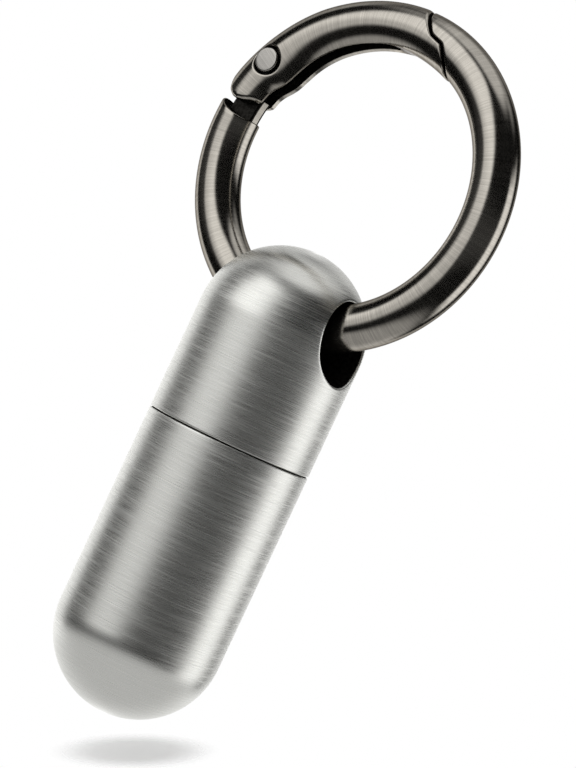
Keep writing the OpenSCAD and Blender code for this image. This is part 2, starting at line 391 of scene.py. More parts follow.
def capsule_steel():
    """Steel brushed round the capsule: long, short and hair lines, scratches and soft patches.

    The lines are noise on (x / r, y / r, s), where r is the distance from the axis and s the way
    along the capsule's profile, so they run round it at one height, on the domes too. On the
    bottom dome the colour goes most of the way over to one even tone."""
    finish = bpy.context.scene.pill_finishes
    material, tree, shader = new_material("brushed_capsule_steel")
    x, y, z = place_of(tree)
    r = from_axis(x, y)
    u, v = x / r, y / r
    low_z = BOTTOM_Z + CAPSULE_R
    top = ((z - DOME_Z) / CAPSULE_R).kept(0.0, 1.0)
    low = ((low_z - z) / CAPSULE_R).kept(0.0, 1.0)
    along = z.maths("MINIMUM", DOME_Z).maths("MAXIMUM", low_z)
    along = along + top.maths("ARCSINE") * CAPSULE_R - low.maths("ARCSINE") * CAPSULE_R
    mm = along * 1000.0

    def lines(turns, height, detail, rough):
        """Noise with a pitch round the capsule and a height."""
        return noise(tree, u * turns, v * turns, height, detail, rough)

    long_lines = lines(1.1, mm * 9.0, 3.0, 0.6)
    short_lines = lines(2.6, mm * 18.0, 2.0, 0.6)
    hair_lines = lines(1.7, mm * 30.0, 1.0, 0.5)
    patches = lines(1.2, mm * 0.35, 1.0, 0.5)
    scratches = lines(1.3, mm * 6.5 + 40.0, 2.0, 0.5).smooth(0.55, 0.66)
    streaks = long_lines * 0.35 + short_lines * 0.25 + hair_lines * 0.4
    tone = streaks.smooth(0.38, 0.62) * 0.7 + scratches * 0.3
    tone = tone + (0.6 - tone) * low.smooth(0.02, 0.3) * 0.7
    wear = (short_lines * 0.4 + hair_lines * 0.6).smooth(0.38, 0.62)
    rough = finish.capsule_gloss - 0.04 + wear * 0.06 + scratches * 0.055 + (patches - 0.5) * 0.02
    feed_named(tree, shader, {
        "Base Color": mixed(tree, tone, toned(finish.capsule, 0.78), toned(finish.capsule, 1.06)),
        "Metallic": 1.0,
        "Roughness": rough,
        "Anisotropic": 0.86,
        "Normal": node(tree, "ShaderNodeBump", {}, Strength=0.12, Distance=0.00002, Height=streaks),
    })
    return material


def ring_plating(name, colour):
    """Dark plating brushed across the ring's wire.

    The lines are noise on (x / w, z / w, y), where w is the distance from the ring's axis, so each
    runs round the wire at one place of the ring."""
    finish = bpy.context.scene.pill_finishes
    material, tree, shader = new_material(name)
    x, y, z = place_of(tree)
    w = from_axis(x, z)
    c, s = x / w, z / w

    def lines(turns, width, detail, rough):
        """Noise with a pitch round the ring and one along its axis."""
        return noise(tree, c * turns, s * turns, y * width, detail, rough)

    fine_lines = lines(90.0, 420.0, 2.0, 0.6)
    hair_lines = lines(230.0, 700.0, 1.0, 0.5)
    patches = lines(12.0, 400.0, 1.0, 0.5)
    tone = (fine_lines * 0.6 + hair_lines * 0.4).smooth(0.3, 0.7)
    feed_named(tree, shader, {
        "Base Color": mixed(tree, tone, toned(colour, 0.80), toned(colour, 1.10)),
        "Metallic": 1.0,
        "Specular Tint": (0.26, 0.25, 0.24, 1.0),
        "Roughness": finish.ring_gloss + (fine_lines - 0.5) * 0.06 + (patches - 0.5) * 0.04,
        "Normal": node(tree, "ShaderNodeBump", {}, Strength=0.06, Distance=0.00003, Height=fine_lines),
    })
    return material


def mottled(name, pitch, edges, dark, light, rough):
    """A dull finish whose colour and roughness both follow one fine noise. Gives its shader too."""
    material, tree, shader = new_material(name)
    x, y, z = place_of(tree)
    grain = noise(tree, x * pitch, y * pitch, z * pitch, 3.0, 0.6)
    feed_named(tree, shader, {
        "Base Color": mixed(tree, grain.smooth(*edges), dark, light),
        "Roughness": rough + (grain - 0.5) * 0.3,
    })
    return material, shader


def painted_shade_steel():
    """Near-black steel that is painted shade: inside slots, recesses, the bore and joints, on the seam's
    inner edge and on faces hidden between parts.
    """
    material, shader = mottled(
        "painted_shade_steel", 3000.0, (0.35, 0.7), (0.012, 0.011, 0.010), (0.035, 0.033, 0.030), 0.45)
    shader.inputs["Metallic"].default_value = 1.0
    shader.inputs["Specular Tint"].default_value = (0.10, 0.10, 0.10, 1.0)
    return material


def seal_rubber():
    """Black nitrile with a faint mould bloom."""
    return mottled(
        "seal_nitrile", 2500.0, (0.4, 0.7), (0.010, 0.010, 0.011), (0.022, 0.022, 0.023), 0.42)[0]


def outline_of_half(capsule, azimuth):
    """Edge of one half of the cap's skin in the YZ plane, seen along X.

    It runs along the seam's edge from the -Y side at the given azimuths, up the +Y side, over the
    dome and down the -Y side."""
    r, low = CAPSULE_R, SEAM_Z + capsule.seam_chamfer
    return joined(
        np.stack([r * np.sin(azimuth), np.full(len(azimuth), low)], -1),
        run((r, low), (r, DOME_Z), 40),
        arc((0, DOME_Z), r, 0, 180, 121),
        run((-r, DOME_Z), (-r, low), 40))


def on_skin(flat, side):
    """Points of the capsule's skin over points (y, z): x is side sqrt(R^2 - y^2 - h^2).

    h is the height over the dome's centre, or 0 below it."""
    y, z = flat[..., 0], flat[..., 1]
    h = np.maximum(z - DOME_Z, 0)
    return np.stack([side * np.sqrt(np.maximum(CAPSULE_R ** 2 - y ** 2 - h ** 2, 0)), y, z], -1)


def cap_skin(skin, capsule, azimuth):
    """Outer skin of the cap in two halves, the rounded mouths of its bore and the bore between them.

    A half is drawn over straight lines from the bore's mouth to the half's outline, and the bore is
    a tube along X from one mouth to the other."""
    edge = outline_of_half(capsule, azimuth)
    centre = np.array([0, DOME_Z + capsule.bore_z])
    way = unit(edge - centre)
    mouth = centre + way * (capsule.bore_r + capsule.rim)
    wall = centre + way * capsule.bore_r
    share = np.sin(np.linspace(0, math.pi / 2, 64))[None, :, None]
    flat = between(mouth[:, None], edge[:, None], share)
    for side in (1, -1):
        skin.add(on_skin(flat, side))
        corner = on_skin(wall, side)
        after = corner - np.array([side * capsule.rim, 0, 0])
        skin.add(np.swapaxes(soft_corner(on_skin(mouth, side), corner, after, 7), 0, 1))
    reach = on_skin(wall, 1)[:, :1] - capsule.rim
    x = reach * np.linspace(-1, 1, 25)
    # The bore's inside is dark: painted shade.
    skin.add(np.stack(np.broadcast_arrays(x, wall[:, :1], wall[:, 1:]), -1), dark=True)


def add_turned(skin, outside, inside, turns):
    """Adds a shell's two half profiles, turned; the inside's first strip lies in the seam's shade."""
    skin.add(turned(outside, turns), closed=True)
    skin.add(turned(inside[:2], turns), closed=True, dark=True)
    skin.add(turned(inside[1:], turns), closed=True)


def cap_shell():
    """The cap: its skin with the bore, and its rounded seam edge and its socket, which are turned."""
    capsule = bpy.context.scene.pill_capsule
    skin = Skin()
    azimuth = np.linspace(-math.pi / 2, math.pi / 2, 97)
    cap_skin(skin, capsule, azimuth)
    r, c = CAPSULE_R, capsule.seam_chamfer
    socket, lead = capsule.socket_r, capsule.socket_lead
    top = SEAM_Z + capsule.socket_depth
    outside = soft_corner((r, SEAM_Z + c), (r, SEAM_Z), (r - c, SEAM_Z), 6)
    inside = path(
        (r - c, SEAM_Z),
        ((r - c - capsule.seam_shade, SEAM_Z), 0, 2, 0),
        ((socket + lead, SEAM_Z), 0, 4, 0),
        ((socket, SEAM_Z + lead), 0, 3, 0),
        ((socket, top), lead, 24, 5),
        ((0.0, top), 0, 20, 0))
    add_turned(skin, outside, inside, np.concatenate([azimuth, azimuth[1:-1] + math.pi]))
    return skin


def body_shell():
    """The body: a turned dome and side, and inside the seam its neck, groove and cavity."""
    capsule = bpy.context.scene.pill_capsule
    r, c = CAPSULE_R, capsule.seam_chamfer
    low, shoulder = BOTTOM_Z + r, SEAM_Z - capsule.seam_gap
    neck, top, edge = capsule.neck_r, NECK_TOP_Z, capsule.groove_edge
    groove, wall_low = capsule.groove_r, SEAM_Z + capsule.groove_rise
    wall_high = wall_low + capsule.groove_w
    cavity = capsule.cavity_r
    ball = BOTTOM_Z + capsule.floor + cavity
    outside = joined(
        arc((0, low), r, -90, 0, 72),
        run((r, low), (r, shoulder - c), 60),
        soft_corner((r, shoulder - c), (r, shoulder), (r - c, shoulder), 6))
    inside = path(
        (r - c, shoulder),
        ((neck, shoulder), edge, 5, 4),
        ((neck, wall_low), edge, 3, 4),
        ((groove, wall_low), 0, 5, 0),
        ((groove, wall_high), 0, 6, 0),
        ((neck, wall_high), edge, 5, 4),
        ((neck, top), capsule.neck_lead, 20, 6),
        ((cavity, top), capsule.cavity_lead, 4, 6),
        ((cavity, ball), 0, 30, 0))
    skin = Skin()
    add_turned(skin, outside, joined(inside, arc((0, ball), cavity, 0, -90, 30)), full_turn(192))
    return skin


def seal_ring():
    """The seal: a circle turned about the capsule's axis, a little smaller than its groove."""
    capsule = bpy.context.scene.pill_capsule
    slack = 0.00002
    middle = (capsule.socket_r + capsule.groove_r) / 2
    cord_r = (capsule.socket_r - capsule.groove_r) / 2 - slack
    height = SEAM_Z + capsule.groove_rise + capsule.groove_w / 2
    skin = Skin()
    skin.add(turned(arc((middle, height), cord_r, 0, 360, 33), full_turn(128)), closed=True)
    return skin


# The ring lies in the XZ plane about the Y axis. The photographed side is its -Y side, here called
# the front, and a grid of the front half turns into the whole by its mirror image.
MIRROR = np.array([1, -1, 1])


def from_hinge(ring, degrees):
    """Angle round the ring of a place that is drawn for a hinge at DRAWN_HINGE."""
    return np.radians(degrees) + (ring.hinge_angle - math.radians(DRAWN_HINGE))


def at(angle, w):
    """Points (x, z) of the ring's plane at an angle round the ring and a distance from its axis."""
    return np.stack(np.broadcast_arrays(w * np.cos(angle), w * np.sin(angle)), -1)


def raised(flat, y):
    """Points (x, z) of the ring's plane, moved to y along its axis."""
    return np.stack(np.broadcast_arrays(flat[..., 0], y, flat[..., 1]), -1)


def fine_line(corners, soft):
    """A line through corners (x, z) in equal steps of 0.02 mm, eased by a mean over the length soft."""
    step = 0.00002
    corners = np.asarray(corners)
    way = lengths(corners)
    s = np.arange(0, way[-1], step)
    line = np.stack([np.interp(s, way, corners[:, k]) for k in (0, 1)], -1)
    half = int(soft / step / 2)
    if half:
        before = line[0] + (line[0] - line[1]) * np.arange(half, 0, -1)[:, None]
        after = line[-1] + (line[-1] - line[-2]) * np.arange(1, half + 1)[:, None]
        full = np.concatenate([before, line, after])
        mean = np.ones(2 * half + 1) / (2 * half + 1)
        line = np.stack([np.convolve(full[:, k], mean, "valid") for k in (0, 1)], -1)
    return line


def beside(line, shift):
    """The line moved sideways to its left."""
    way = unit(np.gradient(line, axis=0))
    return line + shift * np.stack([-way[:, 1], way[:, 0]], -1)


class Section:
    """Cross section of the ring's wire or gate: two half ellipses that meet at their widest place.

    At section angle p the distance from the ring's axis is mid + size cos p, where size is top
    for the outer half and depth for the inner half, and the way along the axis is half sin p. The
    inner half is cut off at lip_y from the middle: there its share of depth is knee."""

    def __init__(self, mid, half, top, depth, lip_y=0.0):
        self.mid = mid
        self.half = half
        self.top = top
        self.depth = depth
        self.knee = math.sqrt(1 - (lip_y / half) ** 2)
        self.lip_turn = math.pi - math.asin(lip_y / half)

    def size(self, outer, angle, inset):
        """Size of the outer or inner half at an angle round the ring, set in by inset."""
        return np.where(outer, self.top(angle), self.depth(angle)) - inset

    def point(self, p, angle, inset=0.0):
        """Distance from the ring's axis, and way along it, of the skin at section angle p."""
        w = self.mid + self.size(np.cos(p) > 0, angle, inset) * np.cos(p)
        return w, (self.half - inset) * np.sin(p) + 0 * w

    def turn(self, w, y, angle):
        """Section angle of a place on the skin: point, the other way round."""
        off = w - self.mid
        return np.arctan2(y / self.half, off / self.size(off > 0, angle, 0.0))

    def half_width(self, w, angle, inset=0.0):
        """Way along the axis to the skin at distance w: half sqrt(1 - (off / size)^2)."""
        off = w - self.mid
        share = off / self.size(off > 0, angle, inset)
        return (self.half - inset) * np.sqrt(np.maximum(1 - share ** 2, 0))


def edge_row(section, line, shift, inset, steps):
    """The front edge where a section's skin, set in by inset, meets an upright cut beside a line.

    Its points lie at equal steps of the edge's length, from the outer to the inner side. Where
    steps are two numbers, the first counts the steps down to the section's knee."""
    flat = beside(line, shift)
    way = lengths(flat)
    w = np.hypot(flat[:, 0], flat[:, 1])
    angle = np.arctan2(flat[:, 1], flat[:, 0])
    low_w = section.mid - section.depth(angle[-1]) + inset
    top_w = section.mid + section.top(angle[0]) - inset
    i = int(np.argmax(w <= top_w))
    j = len(w) - 1 - int(np.argmax(w[::-1] >= low_w))
    start = way[i - 1] + (w[i - 1] - top_w) / (w[i - 1] - w[i]) * (way[i] - way[i - 1])
    stop = way[j] + (w[j] - low_w) / (w[j] - w[j + 1]) * (way[j + 1] - way[j])
    s = start + (stop - start) * (1 - np.cos(np.linspace(0, math.pi, 1600))) / 2
    x, z = (np.interp(s, way, flat[:, k]) for k in (0, 1))
    w, angle = np.hypot(x, z), np.arctan2(z, x)
    y = section.half_width(w, angle, inset)
    y[0] = y[-1] = 0
    full = np.stack([x, -y, z], -1)
    length_so_far = lengths(full)
    whole = length_so_far[-1]
    places = np.linspace(0, whole, steps[0] + 1)
    if len(steps) == 2:
        knee_w = section.mid - (section.depth(angle) - inset) * section.knee
        split = length_so_far[len(w) - 1 - int(np.argmax((w > knee_w)[::-1]))]
        places = np.concatenate([np.linspace(0, split, steps[0] + 1),
                                 np.linspace(split, whole, steps[1] + 1)[1:]])
    return np.stack([np.interp(places, length_so_far, full[:, k]) for k in range(3)], -1)


def lip_rows(section, line, side, gap, lip, steps):
    """Rows of a front edge that is rounded with radius lip, from the skin to the upright face.

    Row k is set back from the cut by lip (1 - sin a) and in from the skin by lip (1 - cos a)."""
    rows = []
    for a in np.linspace(0, math.pi / 2, 5):
        back, inset = lip * (1 - math.sin(a)), lip * (1 - math.cos(a))
        rows.append(edge_row(section, line, side * (gap + back), inset, steps))
    return np.array(rows)


def polar(section, row, over=0.0):
    """Section angle and ring angle of a front row of points; over is added to the ring angle."""
    w = np.hypot(row[:, 0], row[:, 2])
    angle = np.arctan2(row[:, 2], row[:, 0])
    return section.turn(w, -row[:, 1], angle), angle + over


def front_skin(section, turn, angle):
    """Points of a section's front skin at section angles and angles round the ring."""
    w, y = section.point(turn, angle)
    return raised(at(angle, w), -y)


def skin_between(section, first, last, count):
    """Rows of front skin between two rows, each given by its section angles and ring angles."""
    t = np.linspace(0, 1, count)[:, None]
    return front_skin(section, between(first[0], last[0], t), between(first[1], last[1], t))


def both_sides(half):
    """A closed loop in each row, from its front half and the mirror image of that half."""
    back = half[:, -2:0:-1] * MIRROR
    return np.swapaxes(np.concatenate([half, back], 1), 0, 1)


def mirrored(row):
    """A row of points that ends at the middle, with its mirror image in the other order."""
    return np.concatenate([row, row[-2::-1] * MIRROR])


def nose_line(ring):
    """Middle of the joint at the gate's nose: a slant, a step along the wire and a slant again."""
    places = ((90.9, 0.01760), (87.0, 0.01662), (83.9, 0.01566), (80.2, 0.01482), (77.2, 0.01470),
              (74.4, 0.01466), (72.6, 0.01428), (68.2, 0.01330), (64.0, 0.01200), (62.0, 0.01140))
    return fine_line([at(from_hinge(ring, degrees), w) for degrees, w in places], 0.0005)


def wire_section(ring):
    """Section of the wire: a circle."""
    def size(angle):
        """The same size at every angle."""
        return np.full(np.shape(angle), ring.wire_r)

    return Section(ring.opening_r + ring.wire_r, ring.wire_r, size, size)


def frame_tube(ring, skin):
    """The wire from the hollow shoulder by the hinge round to the nose, with its two end faces.

    Rows of equal section angles in the middle go over into the rows along both cuts."""
    section = wire_section(ring)
    steps = (72,)
    hinge = at(ring.hinge_angle, section.mid)
    # The hollow's arc about the hinge, in degrees from the way along the wire
    turn = ring.hinge_angle + math.pi / 2 + np.radians(np.linspace(-22, 43, 60))
    hollow = fine_line(on_circle(hinge, ring.shoulder_r, turn), 0)
    first = lip_rows(section, hollow, -1, 0, ring.lip, steps)[::-1]
    last = lip_rows(section, nose_line(ring), 1, ring.joint_gap / 2, ring.lip, steps)
    even = np.linspace(0, math.pi, steps[0] + 1)
    # Rows of equal section angles run from low to high round the ring
    low, high = math.radians(198), math.radians(360 + 48)
    start, stop = polar(section, first[-1]), polar(section, last[0], 2 * math.pi)
    near = skin_between(section, start, (even, np.full(len(even), low)), 16)
    far = skin_between(section, (even, np.full(len(even), high)), stop, 22)
    middle = np.linspace(low, high, 150)[1:-1, None]
    half = np.concatenate([first, near[1:], front_skin(section, even[None], middle), far[:-1], last])
    skin.add(both_sides(half), closed=True)
    # Both end faces are painted dark as the shade in the shoulder's hollow and in the joint.
    skin.add(face_between(first[0]), dark=True)
    skin.add(face_between(last[-1]), dark=True)


# Steps of a plate's face and edge, from one corner to the next
PLATE_STEPS = 7


def plate_strip(inner, outer, half, bevel):
    """Section loops of a flat strip between two lines, with its outer line's edges bevelled."""
    way = outer - inner
    near = outer - unit(way) * bevel
    t = np.linspace(0, 1, PLATE_STEPS)[:, None, None]
    face = np.swapaxes(between(inner, near, t), 0, 1)
    rise = np.linspace(bevel - half, half - bevel, PLATE_STEPS)
    edge = raised(outer[:, None], rise)
    return np.concatenate([raised(face, -half), edge, raised(face[:, ::-1], half)], 1)


def tongue_strip(ring, skin, side, edge_w):
    """One half of the tongue, from the eye's hole and the wire's middle line to its outer edge.

    The edge is the eye's circle and then a band, at distance edge_w from the ring's axis. Side is 1
    for the outer half and -1 for the inner one."""
    bevel, clearance, root = 0.00012, 0.00005, 0.0012
    mid = ring.opening_r + ring.wire_r
    hinge = at(ring.hinge_angle, mid)
    base = ring.hinge_angle + math.pi / 2
    half = ring.tongue_t / 2
    # The tongue ends inside the wire, at far, and its eye is round down to reach from the wire's way
    far = ring.hinge_angle + 2 * math.asin((ring.shoulder_r + root) / 2 / mid)
    reach = math.radians(62)
    turns = np.linspace(math.pi, reach, 30)
    eye = on_circle(hinge, ring.eye_r, base - side * turns)
    # Along the first ninth of the rest, the edge goes over from the eye to the band
    rest = np.linspace(0, 1, 40)[1:]
    start = math.atan2(eye[-1][1], eye[-1][0])
    angles = start + (far - start) * rest
    start_w = float(np.linalg.norm(eye[-1]))
    band_w = start_w + (edge_w(angles) - start_w) * np.clip(rest * 9, 0, 1)
    outer = np.concatenate([eye, at(angles, band_w)])
    turns = np.concatenate([turns, np.linspace(reach, 0, 12)[1:]])
    hole = on_circle(hinge, ring.rivet_r + clearance, base - side * turns)
    after = math.atan2(hole[-1][1], hole[-1][0])
    along = np.linspace(after, far, len(outer) - len(hole) + 1)[1:]
    loops = plate_strip(np.concatenate([hole, at(along, mid)]), outer, half, bevel)
    # The middle of the outer edge is plated as the wire is, and the rest is painted black as the shade
    # between the gate's cheeks
    bare = slice(PLATE_STEPS + 1, 2 * PLATE_STEPS - 1)
    skin.add(loops[:, :bare.start + 1], dark=True)
    skin.add(loops[:, bare])
    skin.add(loops[:, bare.stop - 1:], dark=True)
    end = loops[-1]
    count = len(end) // 2
    t = np.linspace(0, 1, 5)[None, :, None]
    skin.add(between(end[:count][:, None], end[::-1][:count][:, None], t))
    # The eye's hole is painted dark as shade round the rivet.
    skin.add(raised(hole[:, None], np.linspace(-half, half, 5)), dark=True)


def frame_tongue(ring, skin):
    """The flat tongue: a round eye about the rivet that widens into a band along the wire."""
    mid = ring.opening_r + ring.wire_r
    step = ring.hinge_angle + 2 * math.asin(ring.tongue_step_r / 2 / mid)

    def outer_w(angle):
        """The outer edge keeps its distance."""
        return np.full(len(angle), mid + ring.wire_r * 0.43)

    def inner_w(angle):
        """The inner edge gets deeper at the step."""
        return np.where(angle < step, mid - ring.wire_r * 0.55, mid - ring.wire_r * 0.87)

    tongue_strip(ring, skin, 1, outer_w)
    tongue_strip(ring, skin, -1, inner_w)


# Distances of the gate's parts from the ring's opening, in metres
GATE_MIDDLE = 0.00215
GATE_TOP = 0.00445
SLOT_ROOF = 0.0031
LEAF_LOW, LEAF_HIGH, LEAF_HINGE = 0.00276, 0.00306, 0.0029
HUNDREDTH = 0.00001
# Places along the gate in degrees, as drawn: the slot's end and the middle of its rounding, the end
# of its roof, and the last loop before the tail's rounding
SLOT_END, SLOT_ROUND, ROOF_END, CHEEK_END = 95.7, 99.57, 144.7, 160.4
# Steps along half a loop of the gate: from the top to the slit's edge, the widest place and the lip,
# and then over the lip's strip and the slot's edge, up its wall and along its roof
SLIT_STEPS, OUTER_STEPS, SIDE_STEPS = 6, 18, 16
STRIP_STEPS, CORNER_STEPS, WALL_STEPS, ROOF_STEPS = 3, 3, 10, 6


def face_between(front):
    """The upright face between a front edge and its mirror image, in straight lines along y."""
    t = np.linspace(1, -1, 2 * ROOF_STEPS + 1)[None, :, None]
    return front[:, None] * np.array([1, 0, 1]) + front[:, None] * np.array([0, 1, 0]) * t


def gate_section(ring):
    """Section of the gate, which bulges inwards to a lobe round the hinge and outwards to its tail.

    The lip's and the top's distances from the ring's axis run in straight lines through a few
    places, in hundredths of a millimetre from the opening and from GATE_TOP, and are then eased."""
    mid = ring.opening_r + GATE_MIDDLE
    lip_at = (60, 75, 85, 90, 95, 105, 118, 126, 130, 135, 141, 145, 150, 153, 156, 159, 162, 165, 172)
    lip_rise = (28, 21, 16, 13, 8, 2, -7, -12, -17, -25, -40, -53, -63, -60, -43, -17, 0, 4, 8)
    top_at = (60, 110, 120, 128, 145, 152, 162, 175)
    top_rise = (0, 0, 4, 11, 14, 18, 27, 27)
    fine = from_hinge(ring, np.arange(55, 180, 0.25))
    weight = np.hanning(13) / np.hanning(13).sum()

    def eased(places, base, rises):
        """Distances at the fine angles, as a weighted mean that slides along them."""
        dense = np.interp(fine, from_hinge(ring, places), base + HUNDREDTH * np.array(rises))
        return np.convolve(np.pad(dense, len(weight) // 2, mode="edge"), weight, "valid")

    lip_w = eased(lip_at, ring.opening_r, lip_rise)
    top_w = eased(top_at, ring.opening_r + GATE_TOP, top_rise)

    def top(angle):
        """From the widest place to the outer side."""
        return np.interp(angle, fine, top_w) - mid

    def depth(angle):
        """From the widest place to where the inner side's ellipse would close."""
        return (mid - np.interp(angle, fine, lip_w)) / section.knee

    section = Section(mid, ring.gate_w / 2, top, depth, ring.lip_y)
    return section


def skin_turns(section, slot_half, inset):
    """Section angles of the gate's skin columns: top, slit's edge, widest place and lip."""
    slit = math.asin(slot_half / (section.half - inset))
    return np.concatenate([
        np.linspace(0, slit, SLIT_STEPS + 1),
        np.linspace(slit, math.pi / 2, OUTER_STEPS + 1)[1:],
        np.linspace(math.pi / 2, section.lip_turn, SIDE_STEPS + 1)[1:],
    ])


def gate_loop(ring, section, angle, slot, inset=0.0, cheek=False):
    """Half a section loop of the slotted gate at each angle: skin, lip, slot wall and roof.

    Angle and slot, the slot's half width, have a row for each loop. A cheek's loop starts at the
    slit's edge and closes over one place in the slit instead of the roof. Gives w and y."""
    half_slot, slot_edge, narrow = ring.slot_w / 2, 0.00006, 0.0001
    turns = skin_turns(section, half_slot, inset)[SLIT_STEPS if cheek else 0:]
    w, y = section.point(turns[None], angle[:, :len(turns)], inset)
    slot = np.zeros((len(angle), 1)) + slot
    soft = np.where(slot < narrow, 0, slot_edge * slot / half_slot)
    lip_w, lip_y = w[:, -1:], y[:, -1:]
    wall_w = lip_w + ring.lip_rise
    roof_w = ring.opening_r + SLOT_ROOF
    strip, corner, wall, roof = (
        np.linspace(0, 1, count + 1)[None, 1:]
        for count in (STRIP_STEPS, CORNER_STEPS, WALL_STEPS, ROOF_STEPS))
    parts = [
        (w, y),
        (between(lip_w, wall_w, strip), between(lip_y, slot + soft, strip)),
        (wall_w + soft * corner ** 2, slot + soft * (1 - corner) ** 2),
        (between(wall_w + soft, roof_w, wall), slot + 0 * wall),
        (between(roof_w, w[:, :1], 0.5), slot) if cheek else (roof_w + 0 * slot * roof, slot * (1 - roof)),
    ]
    return [np.concatenate([part[k] for part in parts], 1) for k in (0, 1)]


def gate_nose(ring, section, skin, row_angle, row_w, row_y):
    """The solid end of the gate, from the row under the slot's blunt end to the nose's face.

    Section angles and ring angles go over from the row to the nose's edge, and what sets the row
    off from the plain section fades out."""
    steps = (SLIT_STEPS + OUTER_STEPS + SIDE_STEPS, STRIP_STEPS + ROOF_STEPS)
    last = lip_rows(section, nose_line(ring), -1, ring.joint_gap / 2, ring.lip, steps)
    last_turn, last_angle = polar(section, last[0])
    t = np.linspace(0, 1, 24)[:, None]
    row_turn = section.turn(row_w, row_y, row_angle)
    angle = between(row_angle, last_angle, t)
    w, y = section.point(between(row_turn, last_turn, t), angle)
    plain_w, plain_y = section.point(row_turn, row_angle + 0 * row_turn)
    fade = (1 - t) ** 2
    w = w + (row_w - plain_w) * fade
    y = y + (row_y - plain_y) * fade
    w[0], y[0] = row_w, row_y
    half = np.concatenate([raised(at(angle, w), -y)[:-1], last])
    skin.add(both_sides(half), closed=True)
    # The nose's face in the joint is painted dark as shade.
    skin.add(face_between(last[-1]), dark=True)


def gate_cheek(ring, section, skin, side):
    """One cheek of the gate, from the end of the slot's roof to the tail, with the rivet's recess.

    Loops at equal angles lead up to the tail, and the tail's loops lie more and more along its
    outline and turn over a rounded edge into its end face."""
    half_slot, rounding = ring.slot_w / 2, 0.00055
    split, past = from_hinge(ring, ROOF_END), from_hinge(ring, CHEEK_END)
    tail_w = ring.opening_r + HUNDREDTH * np.array([-60, 0, 30, 79, 147, 215, 284, 349, 388, 430, 475])
    tail_angle = from_hinge(
        ring, (166.8, 167.9, 168.2, 168.8, 170.3, 171.0, 170.8, 169.9, 168.5, 166.6, 164.0))

    def tail_loop(share, setback, inset):
        """The loop at a share of the way to the tail's outline, set back from it and in.

        Its angles and distances depend on each other, so they are worked out in turns."""
        angle = np.array([[past]])
        for _ in range(12):
            w, y = gate_loop(ring, section, angle, half_slot, inset, cheek=True)
            goal = np.interp(w, tail_w, tail_angle) - setback / w
            angle = past + (goal - past) * share
        return raised(at(angle, w), -side * y)

    window = np.linspace(split, past, 25)[:, None]
    w, y = gate_loop(ring, section, window, half_slot, cheek=True)
    cheek = raised(at(window, w), -side * y)
    # The recess lies between the columns a and b, and the slot's wall, painted dark as shade, starts at
    # column wall
    a, b = 5, OUTER_STEPS + 11
    wall = OUTER_STEPS + SIDE_STEPS + STRIP_STEPS + CORNER_STEPS
    skin.add(cheek[:, b:wall + 1])
    skin.add(np.concatenate([cheek[:, wall:], cheek[:, :1]], 1), dark=True)
    skin.add(cheek[:, :a + 1])
    tail = [cheek[-1:]] + [tail_loop(t, rounding, 0.0) for t in np.linspace(0, 1, 13)[1:]]
    for turn in np.linspace(0, math.pi / 2, 8)[1:]:
        tail.append(tail_loop(1.0, rounding * (1 - math.sin(turn)), rounding * (1 - math.cos(turn))))
    around = np.swapaxes(np.concatenate(tail), 0, 1)
    skin.add(around[:wall + 1])
    skin.add(np.concatenate([around[wall:], around[:1]]), dark=True)
    end = around[:, -1]
    skin.add(between(end[:, None], end.mean(0), np.linspace(0, 1, 4)[None, :, None]), closed=True)
    edge = np.concatenate([cheek[0, a:b], cheek[:-1, b], cheek[-1, b:a:-1], cheek[:0:-1, a]])
    recess(ring, section, skin, side, edge)


def recess(ring, section, skin, side, edge):
    """The round recess about the rivet, and the skin between its rim and a loop of the gate's grid.

    The skin is drawn over straight lines from the rim's circle to the loop."""
    hinge = at(ring.hinge_angle, ring.opening_r + ring.wire_r)
    way = unit(edge[:, ::2] - hinge)
    floor_y = 0.0011

    def skin_y(flat):
        """Way along the axis from the middle to the gate's skin."""
        w = np.hypot(flat[..., 0], flat[..., 1])
        return section.half_width(w, np.arctan2(flat[..., 1], flat[..., 0]))

    r, rim = ring.recess_r, ring.recess_rim
    share = np.linspace(0, 1, 12)[:, None, None] ** 1.5
    flat = between(hinge + way * (r + rim), edge[None, :, ::2], share)
    patch = raised(flat, -side * skin_y(flat))
    patch[-1] = edge
    inner = hinge + way * r
    level = skin_y(inner)
    after = raised(inner, -side * (level - rim))
    t = np.linspace(0, 1, 7)[:, None]
    wall = raised(inner[None], -side * between(level - rim, floor_y, t))
    shrink = np.linspace(1, 0, 6)[:, None, None]
    floor = raised(hinge + way * r * shrink, -side * floor_y)
    rim_curve = soft_corner(patch[0], raised(inner, -side * level), after, 6)
    # The recess's wall and floor are painted dark as shade.
    for grid, dark in ((patch, False), (rim_curve, False), (wall, True), (floor, True)):
        skin.add(np.swapaxes(grid, 0, 1), closed=True, dark=dark)


